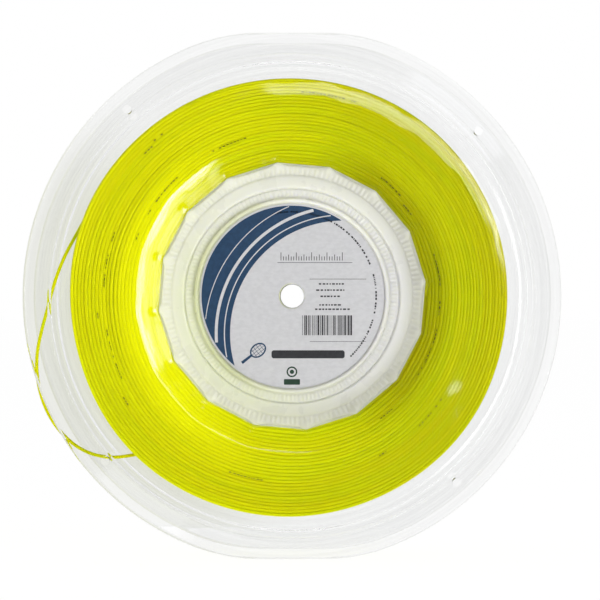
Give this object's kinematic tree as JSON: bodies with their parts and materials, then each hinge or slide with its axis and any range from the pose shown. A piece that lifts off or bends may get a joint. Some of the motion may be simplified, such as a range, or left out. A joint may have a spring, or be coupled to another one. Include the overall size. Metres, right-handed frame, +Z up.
{
  "type": "string reel",
  "caption": "Clear plastic reel of yellow racket string, with a translucent ribbed hub, a round front label and a loose loop of string at one side.",
  "frame": {"origin": "on the axis of the axle bore, half way between the two flanges", "axes": "+Y along the axle bore, from the labelled front to the plain rear; +Z up when the reel stands on the flat of its rims; +X to the right seen from the front"},
  "size_m": [0.2, 0.042, 0.1954],
  "materials": {
    "clear_plastic": "clear moulded plastic, glossy, faint haze",
    "milky_plastic": "translucent milky plastic with fine ribs",
    "label": "silver-grey satin label film with a printed navy design",
    "string": "glossy translucent yellow monofilament"
  },
  "bodies": {
    "root": {"front_flange": "clear_plastic", "rear_flange": "clear_plastic", "hub_drum": "milky_plastic", "front_hub_cap": "milky_plastic", "rear_hub_cap": "milky_plastic", "axle_sleeve": "milky_plastic", "front_label": "label", "string_winding": "string", "string_tail": "string"}
  },
  "joints": []
}
